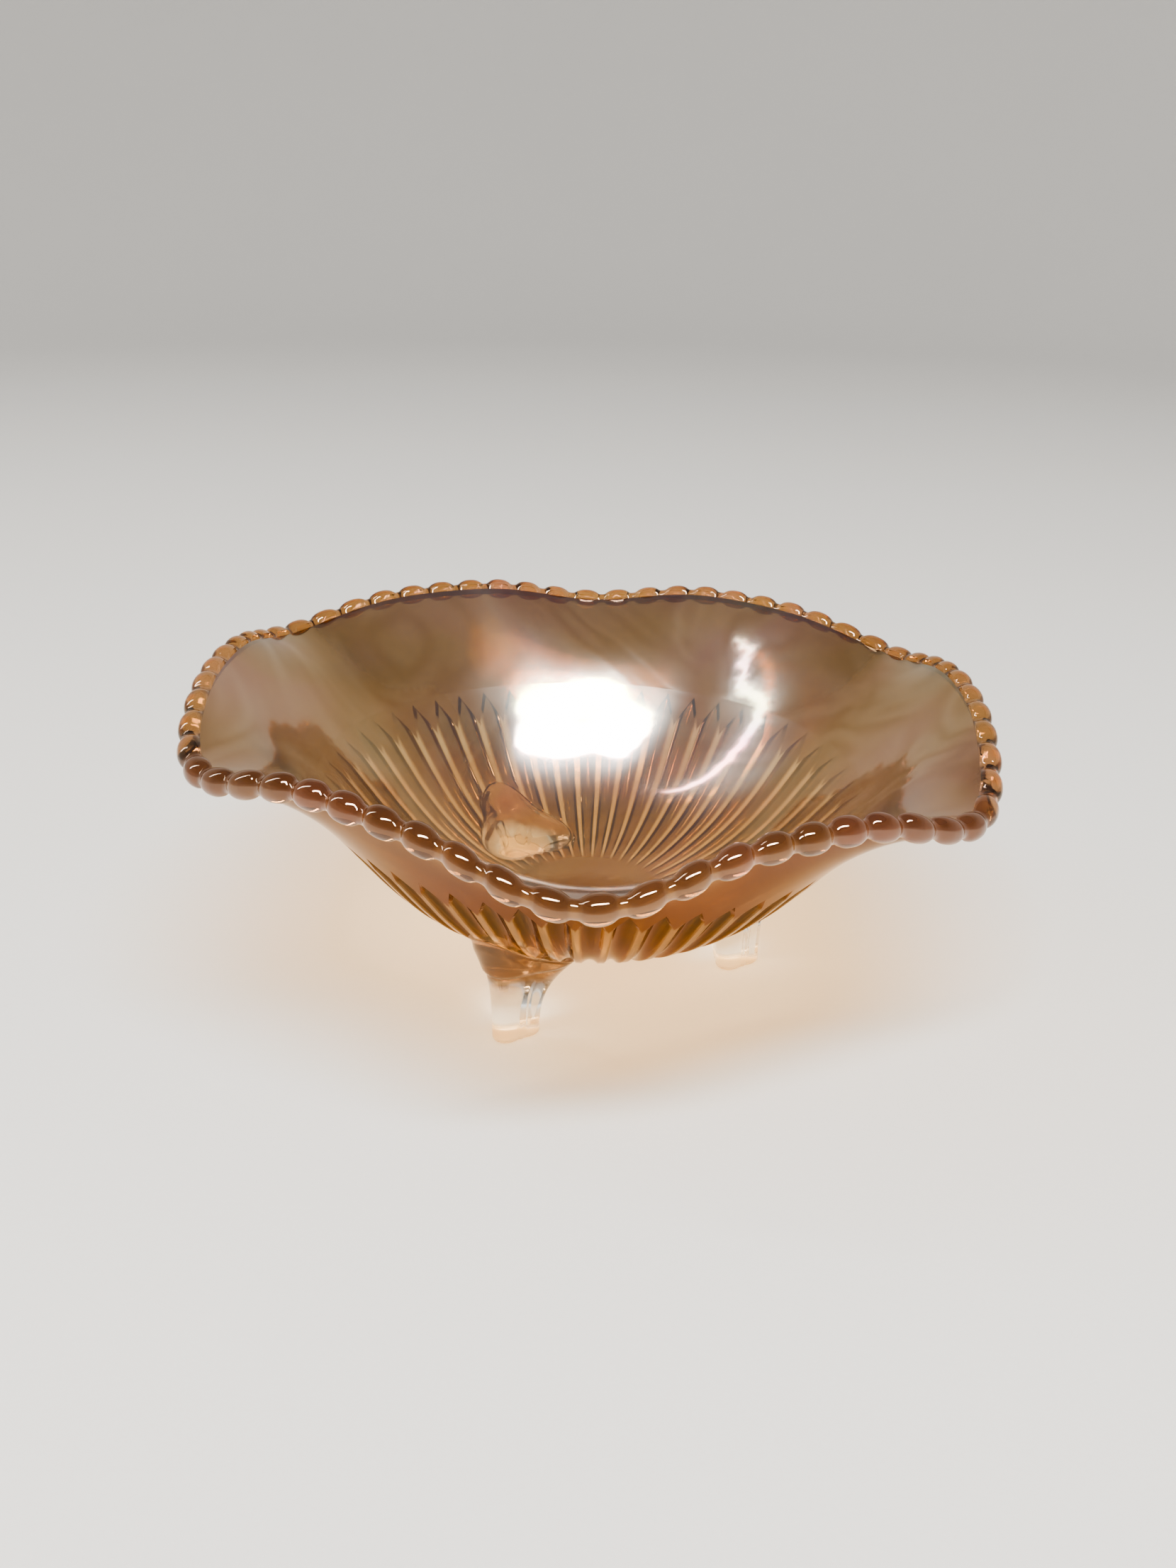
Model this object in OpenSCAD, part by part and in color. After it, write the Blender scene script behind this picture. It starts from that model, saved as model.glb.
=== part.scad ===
// Pressed glass bowl on three moulded feet: a fluted lower bowl, a plain flared wall that is
// crimped into ruffles, and a row of beads round the rim. All sizes in millimetres, +Z up.

/* [Bowl] */
// Mean radius of the ring of bead centres
rim_radius = 75.5; // [70:0.5:82]
// Mean height of the bead centres above the table
rim_height = 59.6; // [56:0.1:66]
// Height of the underside of the floor above the table
floor_height = 12.3; // [11:0.1:15]
// How far the flat of the underside pulls the wall's curve outwards
belly_spread = 51; // [46:0.5:54]
// Radius that the wall's curve is pulled towards on its way up
shoulder_radius = 42.5; // [38:0.5:46]
// Height that the wall's curve is pulled towards on its way up
shoulder_height = 38.3; // [35:0.1:42]

/* [Glass] */
// Thickness of the floor
floor_thickness = 4; // [3.4:0.1:4.6]
// Thickness of the wall where it enters the beads
lip_thickness = 2.6; // [2.2:0.1:3]
// Radius of the plain disc in the middle of the floor
disc_radius = 15.7; // [13:0.1:17]

/* [Ruffles] */
// How far the six crimps push the rim out and in
crimp_out = 2.0; // [0:0.1:3]
// How far the six crimps push the rim up and down
crimp_up = 2.7; // [0:0.1:3.5]
// How much of the hand-made unevenness is kept, 0 for a regular rim
unevenness = 1; // [0:0.1:1]

/* [Flutes] */
// Number of flutes round the bowl
flute_count = 54; // [48:6:60]
// Depth of each flute
flute_depth = 0.8; // [0.3:0.1:1]
// Height of the pointed tips of the flutes, as a share of the wall's curve
flute_tip = 0.74; // [0.64:0.01:0.78]

/* [Beads] */
// Number of beads round the rim
bead_count = 64; // [56:1:70]
// Radius of each bead
bead_radius = 2.8; // [2.4:0.1:3.2]
// Radius of the neck between two beads
neck_radius = 1.9; // [1.7:0.1:2.2]

/* [Feet] */
// Distance of the toes from the bowl's axis
toe_reach = 31.5; // [28:0.5:34]
// Distance from a toe's middle to its corners
toe_size = 5.4; // [4.6:0.1:6.2]
// Distance from a foot's middle to its corners where it joins the bowl
pad_size = 12.5; // [10:0.5:13]
// How far the top of a foot leans in towards the axis
foot_lean = 3; // [1:0.5:4]

/* [Hidden] */

marigold = "#b9763a";
clear_glass = "#dfe6e4";

// Plan angles, counter-clockwise from +X
foot_angle = 3;
first_bead = -88.4;
flute_start = 1.2;

// Hand-made unevenness: [waves round the rim, size, plan angle of a crest]. The warp bends the
// whole wall, and the crimping bends only the part near the lip.
warp_out = [[1, 0.5, 40], [2, 1.2, 4]];
warp_up = [[1, 2.4, 167], [2, 1.1, 20]];
crimp_out_waves = [[4, 0.4, -35], [5, 0.75, -13], [12, 0.4, 0]];
crimp_up_waves = [[4, 0.4, 23], [5, 1.0, 16], [12, 0.5, -15]];
crimps = 6;
crimp_out_crest = 29;

// The wall stops short of the bead centres, inside the beads
lip_drop = 1.3;
lip_in = 0.2;
// The warp fades out at this share of the rim's radius
warp_root = 0.35;
// The crimping begins at this share of the wall's curve
crimp_root = 0.7;

// Rings of the wall's curve: 0 is the axis and 1 is the lip
bowl_ring_count = 7;
wall_ring_count = 4;
// Steps round the bowl: to each flute, and to each bead
flute_turns = 3;
bead_turns = 4;

function total(list, i = 0) = i < len(list) ? list[i] + total(list, i + 1) : 0;
function waves(set, angle) =
    unevenness * total([for (w = set) w[1] * cos(w[0] * (angle - w[2]))]);
function crimped_out(angle) =
    crimp_out * cos(crimps * (angle - crimp_out_crest)) + waves(crimp_out_waves, angle);
function crimped_up(angle) = crimp_up * cos(crimps * angle) + waves(crimp_up_waves, angle);

// The outer wall without ruffles is one cubic curve from the axis to the lip
lip = [rim_radius - lip_in, rim_height - lip_drop];
curve = [[0, floor_height], [belly_spread, floor_height],
         [shoulder_radius, shoulder_height], lip];
function on_curve(t) = pow(1 - t, 3) * curve[0] + 3 * t * pow(1 - t, 2) * curve[1]
    + 3 * t * t * (1 - t) * curve[2] + pow(t, 3) * curve[3];
function along_curve(t) = pow(1 - t, 2) * (curve[1] - curve[0])
    + 2 * t * (1 - t) * (curve[2] - curve[1]) + t * t * (curve[3] - curve[2]);
// Where the curve passes a radius, found by halving, and where the floor's disc ends
function turn_at(radius, low = 0, high = 1, halvings = 20) =
    let (middle = (low + high) / 2)
    halvings == 0 ? middle
    : on_curve(middle)[0] < radius ? turn_at(radius, middle, high, halvings - 1)
    : turn_at(radius, low, middle, halvings - 1);
disc_turn = turn_at(disc_radius);
function inward(t) = let (d = along_curve(t)) [-d[1], d[0]] / norm(d);
function thickness(t) = floor_thickness + (lip_thickness - floor_thickness) * t;
function eased(x) = let (s = min(max(x, 0), 1)) s * s * (3 - 2 * s);

// A point of the wall: depth is measured inwards from the plain outer surface
function wall_point(t, depth, angle) =
    let (p = on_curve(t) + depth * inward(t),
         warp = eased((on_curve(t)[0] / lip[0] - warp_root) / (1 - warp_root)),
         crimp = pow(max(t - crimp_root, 0) / (1 - crimp_root), 3),
         r = p[0] + warp * waves(warp_out, angle) + crimp * crimped_out(angle))
    [r * cos(angle), r * sin(angle),
     p[1] + warp * waves(warp_up, angle) + crimp * crimped_up(angle)];

// Flutes start outside the disc and end in pointed arches
function flute_cut(t, place) =
    let (side = abs(2 * place - 1), top = flute_tip - 0.09 * side)
    place == 0 ? 0 : flute_depth * eased((t - disc_turn) / 0.1) * eased((top - t) / 0.03 + 1);

// A closed solid swept round the axis: each angle carries the same loop of points
module swept(loops) {
    turns = len(loops);
    size = len(loops[0]);
    points = [for (loop = loops) for (p = loop) p];
    faces = [for (i = [0 : turns - 1]) for (j = [0 : size - 1])
        let (a = i * size + j, b = i * size + (j + 1) % size,
             c = ((i + 1) % turns) * size + (j + 1) % size, d = ((i + 1) % turns) * size + j)
        each [[a, b, c], [a, c, d]]];
    polyhedron(points, faces);
}

// Vertices round the bowl at the edge of the floor and in the flutes
turn_count = flute_count * flute_turns;
function flute_angle(index) = flute_start + index * 360 / turn_count;

module floor_disc() {
    edge = [for (i = [0 : turn_count - 1]) wall_point(disc_turn, 0, flute_angle(i))];
    inner = [for (i = [0 : turn_count - 1])
        wall_point(disc_turn, thickness(disc_turn), flute_angle(i))];
    middles = [[0, 0, floor_height], [0, 0, floor_height + floor_thickness]];
    faces = [for (i = [0 : turn_count - 1])
        let (next = (i + 1) % turn_count)
        each [[2 * turn_count, i, next], [2 * turn_count + 1, turn_count + next, turn_count + i],
              [i, turn_count + i, turn_count + next], [i, turn_count + next, next]]];
    color(marigold)
        polyhedron(concat(edge, inner, middles), faces);
}

bowl_rings = [for (i = [0 : bowl_ring_count])
    disc_turn + (flute_tip - disc_turn) * i / bowl_ring_count];

function fluted_loop(index) =
    let (place = (index % flute_turns) / flute_turns, angle = flute_angle(index))
    concat([for (t = bowl_rings) wall_point(t, flute_cut(t, place), angle)],
           [for (i = [bowl_ring_count : -1 : 0])
               if (i % 2 == bowl_ring_count % 2 || i == 0)
                   wall_point(bowl_rings[i], thickness(bowl_rings[i]), angle)]);

module fluted_bowl() {
    color(marigold)
        swept([for (i = [0 : turn_count - 1]) fluted_loop(i)]);
}

wall_rings = [for (i = [0 : wall_ring_count]) flute_tip + (1 - flute_tip) * i / wall_ring_count];
rim_turns = bead_count * bead_turns;
function wall_angle(index) = first_bead + index * 360 / rim_turns;

function wall_loop(angle) =
    concat([for (t = wall_rings) wall_point(t, 0, angle)],
           [for (i = [wall_ring_count : -1 : 0])
               wall_point(wall_rings[i], thickness(wall_rings[i]), angle)]);

module ruffled_wall() {
    color(marigold)
        swept([for (i = [0 : rim_turns - 1]) wall_loop(wall_angle(i))]);
}

// Beads: a round section that swells at each bead and meets the lip with a flat
function bead_loop(index) =
    let (angle = wall_angle(index),
         swell = index % bead_turns == 0 ? bead_radius
             : index % 2 == 0 ? neck_radius : 0.9 * bead_radius,
         r = rim_radius + waves(warp_out, angle) + crimped_out(angle),
         z = rim_height + waves(warp_up, angle) + crimped_up(angle),
         middle = [r * cos(angle), r * sin(angle), z],
         low = wall_point(1, 0, angle),
         high = wall_point(1, thickness(1), angle))
    concat([high, low],
           [for (turn = [-80 : 40 : 120])
               middle + swell * [cos(turn) * cos(angle), cos(turn) * sin(angle), sin(turn)]]);

module bead_rim() {
    color(marigold)
        swept([for (i = [0 : rim_turns - 1]) bead_loop(i)]);
}

// One foot: a rounded triangular horn, one corner outwards, flaring up to the bowl
foot_rings = 9;
foot_top = 30;
foot_sides = 18;
function foot_share(z) = pow(min(z / 22, 1.15), 2.2);
function foot_size(z) = toe_size + (pad_size - toe_size) * foot_share(z);
function foot_middle(z) = toe_reach - foot_lean * z / 22;
function triangle_reach(turn) = 0.84 + 0.16 * cos(3 * turn);

function foot_ring(z) = [for (i = [0 : foot_sides - 1])
    let (turn = i * 360 / foot_sides, reach = foot_size(z) * triangle_reach(turn))
    [foot_middle(z) + reach * cos(turn), reach * sin(turn), z]];

module foot_horn() {
    points = [for (k = [0 : foot_rings]) each foot_ring(foot_top * k / foot_rings)];
    sides = [for (k = [0 : foot_rings - 1]) for (i = [0 : foot_sides - 1])
        let (a = k * foot_sides + i, b = k * foot_sides + (i + 1) % foot_sides)
        each [[a, b + foot_sides, b], [a, a + foot_sides, b + foot_sides]]];
    bottom = [for (i = [0 : foot_sides - 1]) i];
    top = [for (i = [foot_sides - 1 : -1 : 0]) foot_rings * foot_sides + i];
    polyhedron(points, concat(sides, [bottom, top]));
}

// Everything above the underside of the bowl, which the feet are trimmed to
module bowl_cast() {
    skin = [for (i = [0 : turn_count - 1])
        let (place = (i % flute_turns) / flute_turns, angle = flute_angle(i),
             base = wall_point(disc_turn, 0, angle))
        concat([for (t = bowl_rings) wall_point(t, flute_cut(t, place), angle)],
               [[base[0], base[1], rim_height]])];
    swept(skin);
}

module foot(angle) {
    difference() {
        rotate([0, 0, angle])
            foot_horn();
        bowl_cast();
    }
}

module front_left_foot() {
    color(clear_glass) foot(foot_angle + 240);
}

module right_foot() {
    color(clear_glass) foot(foot_angle);
}

module back_left_foot() {
    color(clear_glass) foot(foot_angle + 120);
}

floor_disc();
fluted_bowl();
ruffled_wall();
bead_rim();
front_left_foot();
right_foot();
back_left_foot();
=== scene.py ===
import math

import bpy
import numpy as np
from mathutils import Matrix, Vector


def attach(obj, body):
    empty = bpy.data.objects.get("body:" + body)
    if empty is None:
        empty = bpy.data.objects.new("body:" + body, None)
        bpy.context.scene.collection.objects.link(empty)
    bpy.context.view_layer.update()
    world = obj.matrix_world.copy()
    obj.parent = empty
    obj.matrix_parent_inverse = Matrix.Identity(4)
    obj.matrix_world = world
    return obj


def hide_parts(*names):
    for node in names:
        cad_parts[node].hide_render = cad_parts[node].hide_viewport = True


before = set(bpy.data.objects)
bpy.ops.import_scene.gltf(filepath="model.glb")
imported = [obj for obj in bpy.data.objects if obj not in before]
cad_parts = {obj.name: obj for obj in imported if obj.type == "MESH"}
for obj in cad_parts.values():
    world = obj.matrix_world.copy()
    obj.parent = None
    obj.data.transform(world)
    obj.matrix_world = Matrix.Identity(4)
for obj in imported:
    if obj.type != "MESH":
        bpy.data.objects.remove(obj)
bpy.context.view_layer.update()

# ---------------------------------------------------------------------------------------------
# The camera stands a little above the rim on the front side, a forearm's length away, and looks
# down into the bowl. All lengths in this script are metres.
MM = 0.001
CAMERA_PLACE = (1.4 * MM, -279.4 * MM, 164.7 * MM)
CAMERA_YAW = math.radians(0.377)
CAMERA_DOWN = math.radians(23.822)
CAMERA_ROLL = math.radians(1.086)
SENSOR_WIDTH = 36
LENS_LENGTH = 45.82

camera_data = bpy.data.cameras.new("camera")
camera_data.sensor_fit = "HORIZONTAL"
camera_data.sensor_width = SENSOR_WIDTH
camera_data.lens = LENS_LENGTH
camera_data.clip_start = 10 * MM
camera = bpy.data.objects.new("camera", camera_data)
camera.matrix_world = (
    Matrix.Translation(CAMERA_PLACE)
    @ Matrix.Rotation(CAMERA_YAW, 4, "Z")
    @ Matrix.Rotation(math.pi / 2 - CAMERA_DOWN, 4, "X")
    @ Matrix.Rotation(CAMERA_ROLL, 4, "Z")
)
bpy.context.scene.collection.objects.link(camera)
bpy.context.scene.camera = camera


# ---------------------------------------------------------------------------------------------
# The studio: a round sheet of pale matt paper that curves up at its edge, a pale room and three
# oval soft lamps: a long one overhead on the viewer's side, a small one beside it and a narrow
# one high on the left.
FLAT_RADIUS = 1.0
SWEEP_RADIUS = 0.6
SWEEP_TOP = 1.6
TOE_GAP = 0.05 * MM
PAPER_COLOR = (0.62, 0.61, 0.59, 1)
PAPER_SHADE = 0.93
ROOM_COLOR = (0.80, 0.84, 0.90, 1)
ROOM_STRENGTH = 0.28


def add_node(tree, kind, settings=None, **values):
    """A new node with its settings, and its inputs, named with _ for a space, given or linked."""
    node = tree.nodes.new(kind)
    for name, value in (settings or {}).items():
        setattr(node, name, value)
    for name, value in values.items():
        plug(tree, value, node.inputs[name.replace("_", " ")])
    return node


def plug(tree, value, socket):
    """Puts a value on a socket, or links what feeds it."""
    if isinstance(value, Number):
        value = value.socket
    if isinstance(value, bpy.types.NodeSocket):
        tree.links.new(value, socket)
    else:
        socket.default_value = value


class Number:
    """A number that nodes work out, so that one rule serves node trees and plain meshes."""

    def __init__(self, tree, socket):
        self.tree = tree
        self.socket = socket

    def math(self, operation, *others):
        node = self.tree.nodes.new("ShaderNodeMath")
        node.operation = operation
        for place, value in enumerate((self,) + others):
            plug(self.tree, value, node.inputs[place])
        return Number(self.tree, node.outputs[0])

    def __add__(self, other):
        return self.math("ADD", other)

    def __radd__(self, other):
        return self.math("ADD", other)

    def __sub__(self, other):
        return self.math("SUBTRACT", other)

    def __rsub__(self, other):
        return (self * -1) + other

    def __mul__(self, other):
        return self.math("MULTIPLY", other)

    def __rmul__(self, other):
        return self.math("MULTIPLY", other)

    def __truediv__(self, other):
        return self.math("DIVIDE", other)

    def __pow__(self, other):
        return self.math("POWER", other)

    def __abs__(self):
        return self.math("ABSOLUTE")


def new_material(name):
    """An empty material's tree and its output node."""
    material = bpy.data.materials.new(name)
    material.use_nodes = True
    material.node_tree.nodes.clear()
    return material, material.node_tree, material.node_tree.nodes.new("ShaderNodeOutputMaterial")


def noise(tree, place, scale, detail=3.0, roughness=0.5, distortion=0.0):
    """Cloudy noise from 0 to 1 as a number."""
    node = add_node(tree, "ShaderNodeTexNoise", Vector=place, Scale=scale, Detail=detail,
                    Roughness=roughness, Distortion=distortion)
    return Number(tree, node.outputs["Fac"])


def mixed(tree, share, first, second):
    """A colour between two colours."""
    node = tree.nodes.new("ShaderNodeMix")
    node.data_type = "RGBA"
    plug(tree, share, node.inputs["Factor"])
    plug(tree, first, node.inputs["A"])
    plug(tree, second, node.inputs["B"])
    return node.outputs["Result"]


def paper_material():
    material, tree, output = new_material("pale_paper")
    place = add_node(tree, "ShaderNodeTexCoord").outputs["Object"]
    fibres = noise(tree, place, 900.0, detail=6.0)
    clouds = noise(tree, place, 5.0)
    shade = tuple(PAPER_SHADE * c for c in PAPER_COLOR[:3]) + (1,)
    shader = add_node(tree, "ShaderNodeBsdfPrincipled", Roughness=0.85,
                      Base_Color=mixed(tree, fibres * 0.5 + clouds * 0.5, shade, PAPER_COLOR))
    bump = add_node(tree, "ShaderNodeBump", Strength=0.15, Distance=0.2 * MM, Height=fibres)
    plug(tree, bump.outputs["Normal"], shader.inputs["Normal"])
    plug(tree, shader.outputs["BSDF"], output.inputs["Surface"])
    return material


def mesh_object(name, vertices, faces, materials, face_slots=None):
    """A smooth-shaded mesh object at the origin."""
    mesh = bpy.data.meshes.new(name)
    mesh.from_pydata([tuple(v) for v in vertices], [], faces)
    for material in materials:
        mesh.materials.append(material)
    if face_slots is not None:
        mesh.polygons.foreach_set("material_index", face_slots)
    mesh.polygons.foreach_set("use_smooth", [True] * len(mesh.polygons))
    mesh.update()
    piece = bpy.data.objects.new(name, mesh)
    bpy.context.scene.collection.objects.link(piece)
    return piece


def ring_faces(turns, rings, flip=False):
    """Quads between rings of points that all have the same number of turns."""
    quads = [(k * turns + i, k * turns + (i + 1) % turns,
              (k + 1) * turns + (i + 1) % turns, (k + 1) * turns + i)
             for k in range(rings - 1) for i in range(turns)]
    return [quad[::-1] for quad in quads] if flip else quads


def paper_sweep():
    """The floor: rings from the middle outwards that climb a quarter circle at the edge. It lies
    a hair below the toes, so that no two faces share a plane."""
    turns, flat_rings, sweep_rings = 96, 8, 16
    rings = [(FLAT_RADIUS * (k + 1) / flat_rings, -TOE_GAP) for k in range(flat_rings)]
    for k in range(1, sweep_rings + 1):
        climb = math.pi / 2 * k / sweep_rings
        rings.append((FLAT_RADIUS + SWEEP_RADIUS * math.sin(climb),
                      SWEEP_RADIUS * (1 - math.cos(climb))))
    rings.append((FLAT_RADIUS + SWEEP_RADIUS, SWEEP_TOP))
    points = [(r * math.cos(math.tau * i / turns), r * math.sin(math.tau * i / turns), z)
              for r, z in rings for i in range(turns)]
    faces = ring_faces(turns, len(rings), flip=True) + [tuple(range(turns))]
    return mesh_object("paper_floor", points, faces, [paper_material()])


def area_lamp(name, place, aim, width, depth, watts, color):
    """An oval soft lamp that points at aim."""
    data = bpy.data.lights.new(name, "AREA")
    data.shape = "ELLIPSE"
    data.size = width
    data.size_y = depth
    data.energy = watts
    data.color = color
    lamp = bpy.data.objects.new(name, data)
    lamp.location = place
    lamp.rotation_euler = (Vector(aim) - Vector(place)).to_track_quat("-Z", "Y").to_euler()
    bpy.context.scene.collection.objects.link(lamp)


paper_sweep()
BOWL_MIDDLE = (0, 0, 40 * MM)
area_lamp("tube_lamp", (0.08, -0.50, 1.0), BOWL_MIDDLE, 0.95, 0.17, 27, (1.0, 0.97, 0.93))
area_lamp("short_lamp", (-0.30, -0.62, 0.94), BOWL_MIDDLE, 0.10, 0.05, 1.6, (1.0, 0.98, 0.95))
area_lamp("side_lamp", (-0.80, 0.10, 0.78), BOWL_MIDDLE, 0.06, 1.0, 4, (1.0, 0.98, 0.94))

world = bpy.data.worlds.new("room")
world.use_nodes = True
background = world.node_tree.nodes["Background"]
background.inputs["Color"].default_value = ROOM_COLOR
background.inputs["Strength"].default_value = ROOM_STRENGTH
bpy.context.scene.world = world
bpy.context.scene.view_settings.view_transform = "AgX"
bpy.context.scene.view_settings.look = "AgX - Medium High Contrast"


# ---------------------------------------------------------------------------------------------
# The floor disc is the plain round middle of the bowl: clear glass under an amber metallic
# lustre, pressed in one with all the rest. Its two faces follow the pressing's curve, which the
# fluted bowl and the wall above it continue.
SIZES = {
    "Rim radius": 75.5 * MM, "Rim height": 59.6 * MM, "Floor height": 12.3 * MM,
    "Belly spread": 51 * MM, "Shoulder radius": 42.5 * MM, "Shoulder height": 38.3 * MM,
    "Floor thickness": 4 * MM, "Lip thickness": 2.6 * MM, "Lip drop": 1.3 * MM,
    "Lip in": 0.2 * MM, "Crimp out": 2.0 * MM, "Crimp up": 2.7 * MM, "Warp root": 0.35,
    "Crimp root": 0.7,
}
CRIMPS = 6
CRIMP_OUT_CREST = 29
# Hand-made unevenness: waves round the rim, size in mm, plan angle of a crest in degrees. The
# warp bends the whole wall, and the crimping only the part near the lip.
WARP_OUT = ((1, 0.5, 40), (2, 1.2, 4))
WARP_UP = ((1, 2.4, 167), (2, 1.1, 20))
CRIMP_OUT_WAVES = ((4, 0.4, -35), (5, 0.75, -13), (12, 0.4, 0))
CRIMP_UP_WAVES = ((4, 0.4, 23), (5, 1.0, 16), (12, 0.5, -15))
# Soft unevenness of the inside: size in mm, waves round the bowl, waves from axis to lip, plan
# angle of a crest. It fades in from the floor disc and out again before the lip.
UNEVENNESS = ((0.10, 7, 0.9, 20), (0.07, 11, -1.6, 75), (0.05, 17, 2.3, 130))
UNEVEN_FROM_DISC = 0.3
UNEVEN_TO_LIP = 0.15
# Where the floor disc ends, as a share of the curve from the axis to the lip.
DISC_EDGE = 0.1178
MERGE_DISTANCE = 0.004 * MM
PLAIN_CREASE = math.radians(35)

DEEP_AMBER = (0.42, 0.24, 0.09, 1)
PALE_AMBER = (0.76, 0.54, 0.26, 1)
ROSE_LUSTRE = (0.60, 0.27, 0.20, 1)
OUTSIDE_DEEP = (0.17, 0.075, 0.022, 1)
OUTSIDE_PALE = (0.32, 0.165, 0.055, 1)
# Painted shade: the dark olive that the scoops of the outside are painted with.
SCOOP_SHADE_OLIVE = (0.13, 0.09, 0.04, 1)
# Painted highlight: the pale gold that the ribs are painted with, for the light they refract.
RIB_HIGHLIGHT_GOLD = (0.95, 0.68, 0.32, 1)
LAMP_TINT = (0.91, 0.76, 0.58, 1)
LUSTRE_GLOW = (1.0, 0.93, 0.82, 1)
OUTSIDE_SHEEN = (0.55, 0.34, 0.17, 1)


def cosine(angle):
    return angle.math("COSINE") if isinstance(angle, Number) else np.cos(angle)


def sine(angle):
    return angle.math("SINE") if isinstance(angle, Number) else np.sin(angle)


def clipped(x):
    """x kept between 0 and 1."""
    if isinstance(x, Number):
        return x.math("MAXIMUM", 0.0).math("MINIMUM", 1.0)
    return np.clip(x, 0, 1)


def eased(x):
    """A soft step from 0 to 1."""
    s = clipped(x)
    return s * s * (3 - 2 * s)


def waves(angle, crest_list):
    """The sum of the waves in the list at this plan angle."""
    total = 0
    for order, size, crest in crest_list:
        total = cosine((angle - math.radians(crest)) * order) * (size * MM) + total
    return total


def crimped_out(size, angle):
    """How far the crimping pulls the lip outwards at this plan angle."""
    crimp = cosine((angle - math.radians(CRIMP_OUT_CREST)) * CRIMPS) * size["Crimp out"]
    return crimp + waves(angle, CRIMP_OUT_WAVES)


def crimped_up(size, angle):
    """How far the crimping lifts the lip at this plan angle."""
    return cosine(angle * CRIMPS) * size["Crimp up"] + waves(angle, CRIMP_UP_WAVES)


def wall_point(size, t, depth, angle):
    """A point of the wall: t runs from the axis to the lip, depth inwards from the outside."""
    lip_radius = size["Rim radius"] - size["Lip in"]
    lip_height = size["Rim height"] - size["Lip drop"]
    rest = 1 - t
    low, mid, high = rest * rest * t * 3, t * t * rest * 3, t * t * t
    radius = low * size["Belly spread"] + mid * size["Shoulder radius"] + high * lip_radius
    height = ((rest * rest * rest + low) * size["Floor height"]
              + mid * size["Shoulder height"] + high * lip_height)
    run = (rest * rest * size["Belly spread"]
           + t * rest * 2 * (size["Shoulder radius"] - size["Belly spread"])
           + t * t * (lip_radius - size["Shoulder radius"]))
    rise = (t * rest * 2 * (size["Shoulder height"] - size["Floor height"])
            + t * t * (lip_height - size["Shoulder height"]))
    slant = (run * run + rise * rise) ** 0.5
    warp = eased((radius / lip_radius - size["Warp root"]) / (1 - size["Warp root"]))
    crimp = clipped((t - size["Crimp root"]) / (1 - size["Crimp root"]))
    crimp = crimp * crimp * crimp
    radius = radius - depth * rise / slant
    height = height + depth * run / slant
    radius = radius + warp * waves(angle, WARP_OUT) + crimp * crimped_out(size, angle)
    height = height + warp * waves(angle, WARP_UP) + crimp * crimped_up(size, angle)
    return radius * cosine(angle), radius * sine(angle), height


def thickness(size, t, angle):
    """Thickness of the glass: thinner towards the lip, and uneven between floor and lip."""
    even = size["Floor thickness"] + (size["Lip thickness"] - size["Floor thickness"]) * t
    uneven = 0
    for reach, round_waves, climb_waves, crest in UNEVENNESS:
        phase = (angle - math.radians(crest)) * round_waves + t * (climb_waves * math.tau)
        uneven = cosine(phase) * (reach * MM) + uneven
    from_disc = eased((t - DISC_EDGE) / UNEVEN_FROM_DISC)
    return even + uneven * from_disc * eased((1 - t) / UNEVEN_TO_LIP)


def new_tree(name, sizes):
    """A Geometry Nodes tree with a named input for each size, and those inputs as numbers."""
    tree = bpy.data.node_groups.new(name, "GeometryNodeTree")
    tree.interface.new_socket("Geometry", in_out="OUTPUT", socket_type="NodeSocketGeometry")
    for label, value in sizes.items():
        kind = "NodeSocketInt" if isinstance(value, int) else "NodeSocketFloat"
        tree.interface.new_socket(label, in_out="INPUT", socket_type=kind).default_value = value
    source = tree.nodes.new("NodeGroupInput")
    return tree, {label: Number(tree, source.outputs[label]) for label in sizes}


def strip(tree, turns, rings, rule, material, flip=False, marks=None):
    """A grid bent into a strip by rule(u, v), whose X runs round the bowl from 0 to 1. marks
    gives values of u and v to keep on the mesh under a name, for its material to read."""
    grid = add_node(tree, "GeometryNodeMeshGrid", Size_X=1.0, Size_Y=1.0,
                    Vertices_X=turns + 1, Vertices_Y=rings + 1)
    place = add_node(tree, "ShaderNodeSeparateXYZ",
                     Vector=add_node(tree, "GeometryNodeInputPosition").outputs[0])
    u = Number(tree, place.outputs["X"]) + 0.5
    v = Number(tree, place.outputs["Y"]) + 0.5
    flat = grid.outputs["Mesh"]
    for label, mark in (marks or {}).items():
        flat = add_node(tree, "GeometryNodeStoreNamedAttribute", Geometry=flat, Name=label,
                        Value=mark(u, v)).outputs[0]
    x, y, z = rule(u, v)
    spot = add_node(tree, "ShaderNodeCombineXYZ", X=x, Y=y, Z=z)
    bent = add_node(tree, "GeometryNodeSetPosition", Geometry=flat,
                    Position=spot.outputs[0]).outputs[0]
    if flip:
        bent = add_node(tree, "GeometryNodeFlipFaces", Mesh=bent).outputs[0]
    return add_node(tree, "GeometryNodeSetMaterial", Geometry=bent, Material=material).outputs[0]


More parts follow.
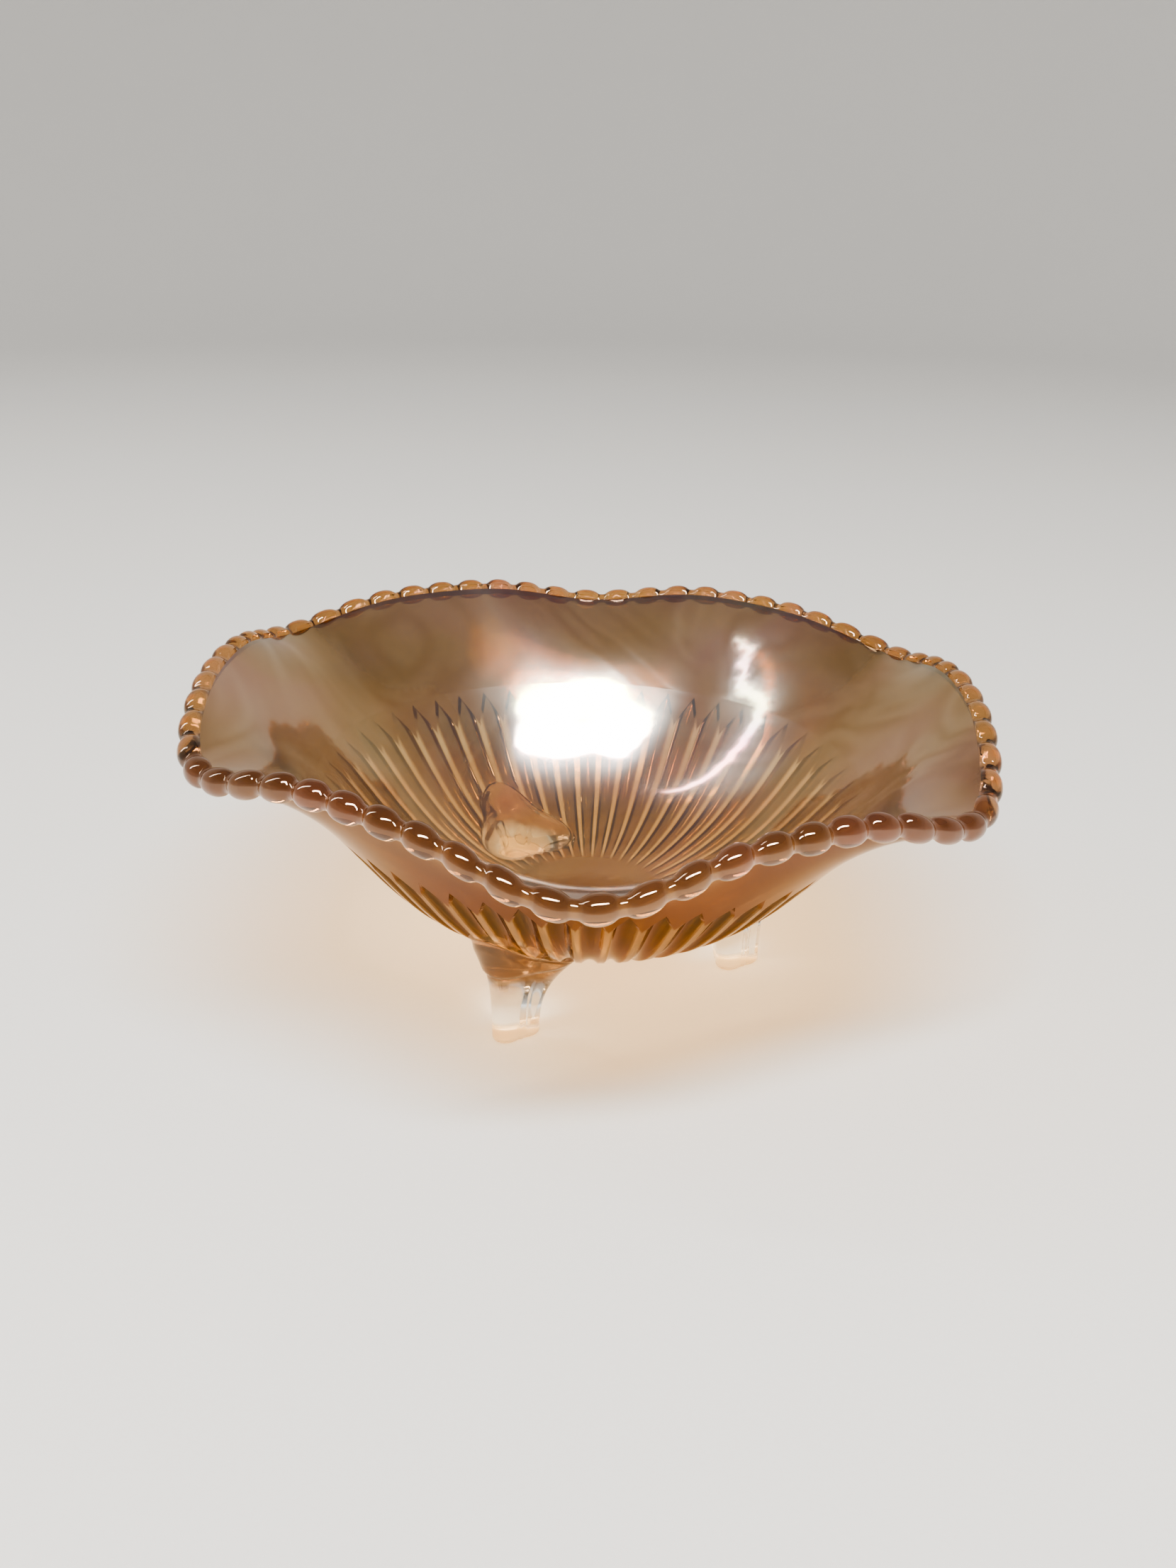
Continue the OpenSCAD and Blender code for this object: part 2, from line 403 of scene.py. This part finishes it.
def close_tree(tree, strips, crease):
    """Joins the strips into one closed skin, whose edges stay sharp where they turn by crease."""
    joined = tree.nodes.new("GeometryNodeJoinGeometry")
    for geometry in strips[::-1]:
        tree.links.new(geometry, joined.inputs[0])
    merged = add_node(tree, "GeometryNodeMergeByDistance", Geometry=joined.outputs[0],
                      Distance=MERGE_DISTANCE)
    smooth = add_node(tree, "GeometryNodeSetShadeSmooth", Geometry=merged.outputs[0])
    bend = Number(tree, add_node(tree, "GeometryNodeInputMeshEdgeAngle").outputs[0])
    sharp = add_node(tree, "GeometryNodeSetShadeSmooth", {"domain": "EDGE"},
                     Geometry=smooth.outputs[0], Selection=bend.math("GREATER_THAN", crease),
                     Shade_Smooth=False)
    real = add_node(tree, "GeometryNodeRealizeInstances", Geometry=sharp.outputs[0])
    output = tree.nodes.new("NodeGroupOutput")
    tree.links.new(real.outputs[0], output.inputs[0])


def made_by(tree, name, values):
    """A plain mesh object made once by the tree with these input values."""
    maker = bpy.data.objects.new(name + "_maker", bpy.data.meshes.new(name + "_maker"))
    modifier = maker.modifiers.new("maker", "NODES")
    modifier.node_group = tree
    for item in tree.interface.items_tree:
        if item.in_out == "INPUT":
            modifier[item.identifier] = values[item.name]
    bpy.context.scene.collection.objects.link(maker)
    graph = bpy.context.evaluated_depsgraph_get()
    mesh = bpy.data.meshes.new_from_object(maker.evaluated_get(graph))
    bpy.data.objects.remove(maker)
    mesh.name = name
    piece = bpy.data.objects.new(name, mesh)
    bpy.context.scene.collection.objects.link(piece)
    return piece


def behind_lamps(tree, shader, lamp_tint, output):
    """Glass that tints the light of lamps instead of stopping it."""
    lamp_light = add_node(tree, "ShaderNodeBsdfTransparent", Color=lamp_tint)
    both = tree.nodes.new("ShaderNodeMixShader")
    plug(tree, tree.nodes.new("ShaderNodeLightPath").outputs["Is Shadow Ray"], both.inputs[0])
    plug(tree, shader.outputs[0], both.inputs[1])
    plug(tree, lamp_light.outputs[0], both.inputs[2])
    plug(tree, both.outputs[0], output.inputs["Surface"])


def marigold_material(name, metal, rough, film, coat, satin, coat_ior, swirl,
                      tints=(DEEP_AMBER, PALE_AMBER)):
    """Amber glass under a thin metallic film: its tint, its shine and its film all drift, rose
    patches cloud it, and swirl sets how much oily lines show. film is its thickness in nm."""
    material, tree, output = new_material(name)
    place = add_node(tree, "ShaderNodeTexCoord").outputs["Object"]
    drift = noise(tree, place, 16.0, detail=2.0, distortion=0.6)
    cloud = noise(tree, place, 45.0, detail=4.0, distortion=0.4)
    grain = noise(tree, place, 420.0, detail=5.0, roughness=0.6)
    oily = noise(tree, place, 22.0, detail=1.5, distortion=2.2)
    lines = (oily * 26).math("SINE") * 0.5 + 0.5
    veil = (lines - 0.5) * (swirl * 0.4)
    tint = mixed(tree, clipped((drift * 0.6 + cloud * 0.4 - 0.3) * 2.5 + veil), *tints)
    patch = noise(tree, place, 27.0, detail=2.0, distortion=1.2)
    tint = mixed(tree, clipped((patch - 0.5) * 5) * 0.6, tint, ROSE_LUSTRE)
    shader = add_node(
        tree, "ShaderNodeBsdfPrincipled", Base_Color=tint,
        Metallic=metal * (0.75 + cloud * 0.5), Roughness=rough * (0.6 + grain * 0.5 + drift * 0.3),
        IOR=1.5, Transmission_Weight=1.0, Coat_Weight=coat * (0.7 + cloud * 0.6 + veil),
        Coat_Roughness=satin, Coat_IOR=coat_ior, Coat_Tint=LUSTRE_GLOW,
        Thin_Film_IOR=1.8, Thin_Film_Thickness=film * (0.5 + drift) if film else 0.0)
    bump = add_node(tree, "ShaderNodeBump", Strength=swirl, Distance=0.05 * MM,
                    Height=lines * 0.7 + cloud * 2.0 + grain * 0.25)
    plug(tree, bump.outputs["Normal"], shader.inputs["Normal"])
    plug(tree, bump.outputs["Normal"], shader.inputs["Coat Normal"])
    behind_lamps(tree, shader, LAMP_TINT, output)
    return material


def outside_material():
    """The outside of the pressing: deep amber, darker in the scoops as painted shade and paler
    gold on the ribs as a painted highlight.
    """
    material, tree, output = new_material("amber_outside")
    place = add_node(tree, "ShaderNodeTexCoord").outputs["Object"]
    rib, scoop = (Number(tree, add_node(tree, "ShaderNodeAttribute",
                                        {"attribute_name": label}).outputs["Fac"])
                  for label in ("rib", "scoop"))
    drift = noise(tree, place, 20.0, detail=3.0, distortion=0.5)
    cloud = noise(tree, place, 90.0, detail=3.0, distortion=0.5)
    grain = noise(tree, place, 300.0, detail=4.0)
    glass = mixed(tree, clipped(drift * 2 - 0.5), OUTSIDE_DEEP, OUTSIDE_PALE)
    # Painted shade: the scoops are painted darker olive in clouds.
    shaded_scoops = mixed(tree, scoop * clipped(cloud * 2.4 - 0.5), glass, SCOOP_SHADE_OLIVE)
    # Painted highlight: the ribs are painted paler gold.
    shader = add_node(
        tree, "ShaderNodeBsdfPrincipled", Base_Color=mixed(tree, rib, shaded_scoops, RIB_HIGHLIGHT_GOLD),
        Metallic=(0.35 + drift * 0.25) * (1 - rib * 0.5), Roughness=0.04 + grain * 0.06,
        IOR=1.5, Transmission_Weight=1.0, Specular_IOR_Level=0.2,
        Specular_Tint=OUTSIDE_SHEEN)
    bump = add_node(tree, "ShaderNodeBump", Strength=0.3, Distance=0.05 * MM,
                    Height=drift * 2.0 + grain * 0.3)
    plug(tree, bump.outputs["Normal"], shader.inputs["Normal"])
    behind_lamps(tree, shader, LAMP_TINT, output)
    return material


def joint_material():
    """Where the parts of the pressing meet inside the glass there is nothing to see."""
    material, tree, output = new_material("inside_the_glass")
    shader = add_node(tree, "ShaderNodeBsdfTransparent", Color=(1, 1, 1, 1))
    plug(tree, shader.outputs[0], output.inputs["Surface"])
    return material


joint = joint_material()
floor_inside = marigold_material("marigold_floor", metal=0.30, rough=0.08, film=300.0,
                                 coat=0.8, satin=0.22, coat_ior=2.0, swirl=0.3)
amber_outside = outside_material()


def round_angle(u, start):
    return u * math.tau + start


def skin(size, first, last, depth_share, start=0.0):
    """The outside (share 0) or inside (share 1) of the pressing from first to last."""
    def rule(u, v):
        t = first + (last - first) * v
        angle = round_angle(u, start)
        return wall_point(size, t, thickness(size, t, angle) * depth_share, angle)
    return rule


def end(size, t, start=0.0):
    """The faces through the glass that close a stretch of the pressing at t."""
    def rule(u, v):
        angle = round_angle(u, start)
        return wall_point(size, t, thickness(size, t, angle) * v, angle)
    return rule


def plain_tree(name, lustre, outside, reaches_axis=False):
    """Skins outside and inside a stretch of the curve, closed by joint faces at its ends."""
    sizes = dict(SIZES, **{"From": 0.0, "To": 1.0, "Turns": 64, "Rings": 8})
    tree, size = new_tree(name, sizes)
    first, last, turns, rings = (size[k] for k in ("From", "To", "Turns", "Rings"))
    strips = [strip(tree, turns, rings, skin(size, first, last, 0.0), outside),
              strip(tree, turns, rings, skin(size, first, last, 1.0), lustre, flip=True),
              strip(tree, turns, 1, end(size, last), joint)]
    if not reaches_axis:
        strips.append(strip(tree, turns, 1, end(size, first), joint, flip=True))
    close_tree(tree, strips, PLAIN_CREASE)
    return tree, sizes


disc_tree, disc_sizes = plain_tree("plain_pressing", floor_inside, amber_outside,
                                   reaches_axis=True)
floor_disc = made_by(disc_tree, "pressed_floor_disc",
                     dict(disc_sizes, **{"From": 0.0, "To": DISC_EDGE, "Turns": 216, "Rings": 12}))
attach(floor_disc, "root")
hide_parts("floor_disc")


# ---------------------------------------------------------------------------------------------
# The fluted bowl is the larger, lower part of the wall, of the same lustred glass. The mould
# presses 54 scooped flutes with pointed tops into its outside and leaves a narrow rib between
# each two; the plunger leaves it smooth inside.
FLUTES = 54
FLUTE_START = math.radians(1.2)
FLUTE_STEPS = 16
FLUTE_DEPTH = 1.0 * MM
# A flute's depth as a share of FLUTE_DEPTH at the axis, and how much of it the curve adds.
DEPTH_AT_AXIS = 0.45
DEPTH_GAIN = 0.95
FLUTE_CREASE = math.radians(18)
# Shares of the curve: the tips of the flutes, how far each flute's top falls from its tip to its
# ribs, the plain band kept above the tips, and how soon the flutes fade in from the floor disc.
FLUTE_TIP = 0.74
ARCH_RISE = 0.09
TIP_BAND = 0.004
FLOOR_FADE = 0.08
# Shares of the rows of the grid that follow the flutes, and of half a flute's width to its rib.
ARCH_SHARE = 0.85
ARCH_FADE = 0.025
RIB_EDGE = 0.75
# Inside this share of a pad's outline the foot meets the bowl; flutes fade in from the outline.
PAD_JOINT = 0.98
PAD_FADE = 0.10
FOOT_ANGLE = math.radians(3)
PAD_MIDDLE = 29.6 * MM
PAD_SIZE = 12.0 * MM


def corner_reach(turn):
    """A rounded triangle with a corner outwards, as a share of its size."""
    return cosine(turn * 3) * 0.15 + 0.85


def fluted_tree(lustre, outside_glass):
    """The pressing from the floor disc to the tips of the flutes, with its flutes and its ribs,
    and with joint faces where the feet meet it."""
    sizes = dict(SIZES, **{"Flutes": FLUTES, "Flute depth": FLUTE_DEPTH, "Tip": FLUTE_TIP,
                           "From": DISC_EDGE, "Rings": 80, "Pad middle": PAD_MIDDLE,
                           "Pad size": PAD_SIZE})
    tree, size = new_tree("fluted_pressing", sizes)
    first, tip = size["From"], size["Tip"]
    turns = size["Flutes"] * FLUTE_STEPS

    def side_of(u):
        """0 on the middle line of a flute and 1 on the middle line of a rib."""
        return abs((u * size["Flutes"]).math("FRACT") * 2 - 1)

    def climb(u, v):
        """t of a grid row: row ARCH_SHARE follows the pointed tops."""
        top = tip - TIP_BAND - side_of(u) * ARCH_RISE
        return (first + (top - first) * clipped(v / ARCH_SHARE)
                + (tip - top) * clipped((v - ARCH_SHARE) / (1 - ARCH_SHARE)))

    def pad_share(x, y):
        """Below 1 inside the outline of a foot's pad."""
        near = (y.math("ARCTAN2", x) - FOOT_ANGLE).math("WRAP", math.pi / 3, -math.pi / 3)
        radius = (x * x + y * y) ** 0.5
        out = radius * cosine(near) - size["Pad middle"]
        side = radius * sine(near)
        reach = (out * out + side * side) ** 0.5
        return reach / (corner_reach(side.math("ARCTAN2", out)) * size["Pad size"])

    def outside(u, v):
        t = climb(u, v)
        side = side_of(u) / RIB_EDGE
        scoop = clipped(1 - side * side)
        fade = eased((t - first) / FLOOR_FADE) * clipped((ARCH_SHARE - v) / ARCH_FADE)
        depth = size["Flute depth"] * (DEPTH_AT_AXIS + t * DEPTH_GAIN) * scoop * fade
        angle = round_angle(u, FLUTE_START)
        x, y, _ = wall_point(size, t, 0.0, angle)
        depth = depth * eased((pad_share(x, y) - 1.0) / PAD_FADE)
        return wall_point(size, t, depth, angle)

    def scoop_mark(u, v):
        """1 in the scoops, where their painted shade goes, faded out towards the ribs, the floor
        and the pointed tops.
        """
        return (clipped((RIB_EDGE - side_of(u)) / 0.25) * eased((v - 0.12) / 0.2)
                * clipped((ARCH_SHARE - v) / 0.04))

    def rib_mark(u, v):
        """1 on the ribs, where their painted highlight goes, faded out towards the scoops, the
        floor and the pointed tops.
        """
        return (clipped((side_of(u) - RIB_EDGE) / 0.06 + 0.5) * eased((v - 0.02) / 0.05)
                * clipped((ARCH_SHARE - v) / 0.02))

    outer = strip(tree, turns, size["Rings"], outside, outside_glass,
                  marks={"scoop": scoop_mark, "rib": rib_mark})
    place = add_node(tree, "ShaderNodeSeparateXYZ",
                     Vector=add_node(tree, "GeometryNodeInputPosition").outputs[0])
    under_pad = pad_share(*(Number(tree, place.outputs[k]) for k in "XY"))
    outer = add_node(tree, "GeometryNodeSetMaterial", Geometry=outer, Material=joint,
                     Selection=under_pad.math("LESS_THAN", PAD_JOINT)).outputs[0]
    close_tree(tree, [
        outer,
        strip(tree, turns, 16, skin(size, first, tip, 1.0, FLUTE_START), lustre, flip=True),
        strip(tree, turns, 1, end(size, tip, FLUTE_START), joint),
        strip(tree, turns, 1, end(size, first, FLUTE_START), joint, flip=True),
    ], FLUTE_CREASE)
    return tree, sizes


bowl_inside = marigold_material("marigold_flutes", metal=0.27, rough=0.075, film=310.0,
                                coat=0.8, satin=0.24, coat_ior=2.0, swirl=0.35)
flute_tree, flute_sizes = fluted_tree(bowl_inside, amber_outside)
fluted_bowl = made_by(flute_tree, "pressed_fluted_bowl", flute_sizes)
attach(fluted_bowl, "root")
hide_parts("fluted_bowl")


# ---------------------------------------------------------------------------------------------
# The ruffled wall is the plain upper part of the wall, of the same lustred glass. It is reheated
# after pressing and crimped by hand, so it is fire-polished and its six ruffles are uneven.
wall_inside = marigold_material("marigold_wall", metal=0.29, rough=0.08, film=315.0,
                                coat=0.8, satin=0.2, coat_ior=2.0, swirl=0.9)
wall_tree, wall_sizes = plain_tree("ruffled_pressing", wall_inside, amber_outside)
ruffled_wall = made_by(wall_tree, "crimped_wall",
                       dict(wall_sizes, **{"From": FLUTE_TIP, "To": 1.0, "Turns": 768,
                                           "Rings": 28}))
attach(ruffled_wall, "root")
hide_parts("ruffled_wall")


# ---------------------------------------------------------------------------------------------
# The bead rim ends the wall: 64 long pearls of amber glass with short necks, moulded in one
# string and softened by the reheating, which leaves each a little different.
BEADS = 64
BEAD_STEPS = 20
BEAD_RADIUS = 2.8 * MM
NECK_RADIUS = 1.7 * MM
NECK_BLEND = 0.35 * MM
PEARL_POWER = 2.3
BEAD_CREASE = math.radians(40)
FIRST_BEAD = math.radians(-88.4)
# The lip meets the string of beads between two turns of the string's section, at a reach from
# its middle line at each.
LIP_LOW_TURN = math.radians(-98.7)
LIP_HIGH_TURN = math.radians(149.4)
LIP_LOW_REACH = 1.315 * MM
LIP_HIGH_REACH = 1.805 * MM
LIP_EASE = 0.11

BEAD_DEEP = (0.30, 0.14, 0.045, 1)
BEAD_PALE = (0.58, 0.34, 0.13, 1)
# Painted shade: the dark warm browns of the sheet seen through each bead.
SHADE_SHEET_DEEP = (0.060, 0.032, 0.018, 1)
SHADE_SHEET_PALE = (0.13, 0.073, 0.042, 1)


def bead_shade_sheet_material():
    """A matt warm brown sheet inside the glass where each bead meets the lip: painted shade that
    darkens each bead's body.
    """
    material, tree, output = new_material("bead_shade_sheet")
    place = add_node(tree, "ShaderNodeTexCoord").outputs["Object"]
    cloud = noise(tree, place, 160.0)
    shader = add_node(tree, "ShaderNodeBsdfPrincipled", Roughness=0.5,
                      Base_Color=mixed(tree, cloud, SHADE_SHEET_DEEP, SHADE_SHEET_PALE))
    plug(tree, shader.outputs["BSDF"], output.inputs["Surface"])
    return material


def bead_tree(lustre, core):
    """The string of beads along the lip, closed by the seat where it meets the wall."""
    sizes = dict(SIZES, **{"Beads": BEADS, "Bead radius": BEAD_RADIUS,
                           "Neck radius": NECK_RADIUS, "Unevenness": 0.05,
                           "Section steps": 22, "Seed": 7})
    tree, size = new_tree("bead_rim_pressing", sizes)
    turns = size["Beads"] * BEAD_STEPS

    def swell(u):
        """Radius of the string of beads: long pearls, blended into their necks."""
        place = (u * size["Beads"] + 0.5).math("FRACT") * 2 - 1
        number = (u * size["Beads"] + 0.5).math("FLOOR").math("MODULO", size["Beads"])
        luck = add_node(tree, "FunctionNodeRandomValue", {"data_type": "FLOAT"},
                        ID=number, Seed=size["Seed"])
        size_change = 1 - Number(tree, luck.outputs[1]) * size["Unevenness"]
        round_share = clipped(1 - abs(place) ** PEARL_POWER) ** 0.5
        pearl = round_share * size["Bead radius"] * size_change
        return pearl.math("SMOOTH_MAX", size["Neck radius"], NECK_BLEND)

    def section(u, reach, turn):
        """A point of the string's section, at this reach and turn from its middle line."""
        angle = round_angle(u, FIRST_BEAD)
        radius = (size["Rim radius"] + waves(angle, WARP_OUT) + crimped_out(size, angle)
                  + reach * cosine(turn))
        height = (size["Rim height"] + waves(angle, WARP_UP) + crimped_up(size, angle)
                  + reach * sine(turn))
        return radius * cosine(angle), radius * sine(angle), height

    def surface(u, v):
        turn = v * (LIP_HIGH_TURN - LIP_LOW_TURN) + LIP_LOW_TURN
        lip = LIP_LOW_REACH + (LIP_HIGH_REACH - LIP_LOW_REACH) * v
        full = eased(v / LIP_EASE) * eased((1 - v) / LIP_EASE)
        return section(u, lip + (swell(u) - lip) * full, turn)

    def seat(u, v):
        low = section(u, LIP_LOW_REACH, LIP_LOW_TURN)
        high = section(u, LIP_HIGH_REACH, LIP_HIGH_TURN)
        return tuple(b + (a - b) * v for a, b in zip(low, high))

    close_tree(tree, [
        strip(tree, turns, size["Section steps"], surface, lustre),
        # The seat carries the painted shade sheet.
        strip(tree, turns, 1, seat, core),
    ], BEAD_CREASE)
    return tree, sizes


bead_lustre = marigold_material("marigold_beads", metal=0.12, rough=0.06, film=0.0,
                                coat=0.5, satin=0.05, coat_ior=1.6, swirl=0.2,
                                tints=(BEAD_DEEP, BEAD_PALE))
rim_tree, rim_sizes = bead_tree(bead_lustre, bead_shade_sheet_material())
bead_rim = made_by(rim_tree, "beaded_rim", rim_sizes)
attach(bead_rim, "root")
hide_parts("bead_rim")


# ---------------------------------------------------------------------------------------------
# The three feet are pressed with the bowl: rounded triangular horns, one corner outwards, that
# flare into a pad. The lustre is sprayed from above and fades out, so the toes are clear glass.
TOE_MIDDLE = 31.5 * MM
TOE_SIZE = 5.4 * MM
FOOT_TURNS = 96
FOOT_RINGS = 48
CAP_RINGS = 8
TOE_ROUNDING = 0.7 * MM
RIDGE_SHARE = 0.05
RIDGE_WIDTH = math.radians(7)
FLARE_POWER = 2.9
LEDGE_HEIGHT = 15.6 * MM
LEDGE_STEP = 0.6 * MM
LEDGE_RUN = 0.4 * MM
LEDGE_FADE = 0.12
SPRAY_START = 10.0 * MM
SPRAY_RUN = 4.5 * MM
SPRAY_DRIFT = 4 * MM
SOLE_RUN = 1.2 * MM

CLEAR_GLASS = (0.84, 0.85, 0.84, 1)
# Painted glow: the warm colour that the soles are painted with.
PAINTED_SOLE_GLOW = (0.84, 0.60, 0.27, 1)
SPRAY_AMBER = (0.34, 0.165, 0.05, 1)
CLEAR_LAMP_TINT = (0.86, 0.86, 0.85, 1)


def underside_height(x, y):
    """Height of the plain outside of the bowl over each point."""
    t = np.linspace(0.1, 0.75, 200)
    angle = np.arctan2(y, x)
    heights = np.empty_like(x)
    for k, (a, r) in enumerate(zip(angle, np.hypot(x, y))):
        px, py, pz = wall_point(SIZES, t, 0.0, a)
        heights[k] = np.interp(r, np.hypot(px, py), pz)
    return heights


def foot_points(foot_angle):
    """Rings of a foot: the sole from its middle out, the horn up to the pad, the pad back in."""
    turn = np.arange(FOOT_TURNS) * math.tau / FOOT_TURNS

    def placed(middle, reach, height):
        out, side = middle + reach * np.cos(turn), reach * np.sin(turn)
        return np.stack([out * math.cos(foot_angle) - side * math.sin(foot_angle),
                         out * math.sin(foot_angle) + side * math.cos(foot_angle),
                         np.broadcast_to(height, turn.shape)], axis=1)

    ridge = np.exp(-(((turn % (math.tau / 3)) - math.tau / 6) / RIDGE_WIDTH) ** 2)
    toe = TOE_SIZE * corner_reach(turn) * (1 + RIDGE_SHARE * ridge)
    pad = PAD_SIZE * corner_reach(turn)
    pad_spots = placed(PAD_MIDDLE, pad, 0.0)
    top = underside_height(pad_spots[:, 0], pad_spots[:, 1])
    rings = [placed(TOE_MIDDLE, (toe - TOE_ROUNDING) * (k + 0.3) / CAP_RINGS, 0.0)
             for k in range(CAP_RINGS)]
    for k in range(5):
        bend = math.pi / 2 * k / 4
        rings.append(placed(TOE_MIDDLE, toe - TOE_ROUNDING * (1 - math.sin(bend)),
                            TOE_ROUNDING * (1 - math.cos(bend))))
    for k in range(1, FOOT_RINGS + 1):
        climb = k / FOOT_RINGS
        height = TOE_ROUNDING + (top - TOE_ROUNDING) * climb
        flare = climb ** FLARE_POWER
        reach = toe + (pad - toe) * flare
        ledge = eased((height - LEDGE_HEIGHT) / LEDGE_RUN) * eased((1 - climb) / LEDGE_FADE)
        rings.append(placed(TOE_MIDDLE + (PAD_MIDDLE - TOE_MIDDLE) * flare,
                            reach + LEDGE_STEP * ledge, height))
    for k in range(1, CAP_RINGS):
        spots = placed(PAD_MIDDLE, pad * (1 - k / CAP_RINGS), 0.0)
        spots[:, 2] = underside_height(spots[:, 0], spots[:, 1])
        rings.append(spots)
    return np.concatenate(rings)


def foot_material():
    """Clear pressed glass with a painted warm glow on its sole; the marigold film sets in with
    height.
    """
    material, tree, output = new_material("clear_foot_glass")
    place = add_node(tree, "ShaderNodeTexCoord").outputs["Object"]
    height = Number(tree, add_node(tree, "ShaderNodeSeparateXYZ", Vector=place).outputs["Z"])
    cloud = noise(tree, place, 140.0, detail=3.0)
    spray = clipped((height - SPRAY_START + (cloud - 0.5) * SPRAY_DRIFT) / SPRAY_RUN)
    sole = clipped(1 - height / SOLE_RUN)
    # Painted glow: the sole is painted warm, and is also made rougher and less clear.
    clear = mixed(tree, sole, CLEAR_GLASS, PAINTED_SOLE_GLOW)
    shader = add_node(tree, "ShaderNodeBsdfPrincipled",
                      Base_Color=mixed(tree, spray, clear, SPRAY_AMBER),
                      Metallic=spray * 0.30, Roughness=0.03 + spray * 0.12 + sole * 0.3, IOR=1.5,
                      Transmission_Weight=1 - sole * 0.6, Coat_Weight=0.3, Coat_Roughness=0.03)
    bump = add_node(tree, "ShaderNodeBump", Strength=0.35, Distance=0.12 * MM,
                    Height=cloud + noise(tree, place, 320.0) * 0.4)
    plug(tree, bump.outputs["Normal"], shader.inputs["Normal"])
    behind_lamps(tree, shader, mixed(tree, spray, CLEAR_LAMP_TINT, LAMP_TINT), output)
    return material


foot_glass = foot_material()
for index, side in enumerate(("right", "back_left", "front_left")):
    points = foot_points(FOOT_ANGLE + index * math.tau / 3)
    ring_count = len(points) // FOOT_TURNS
    quads = ring_faces(FOOT_TURNS, ring_count)
    sole = tuple(range(FOOT_TURNS))[::-1]
    crown = tuple((ring_count - 1) * FOOT_TURNS + i for i in range(FOOT_TURNS))
    cap_start = (ring_count - CAP_RINGS) * FOOT_TURNS
    slots = [int(quad[0] >= cap_start) for quad in quads] + [0, 1]
    foot = mesh_object(side + "_pressed_foot", points, quads + [sole, crown],
                       [foot_glass, joint], slots)
    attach(foot, "root")
    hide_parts(side + "_foot")
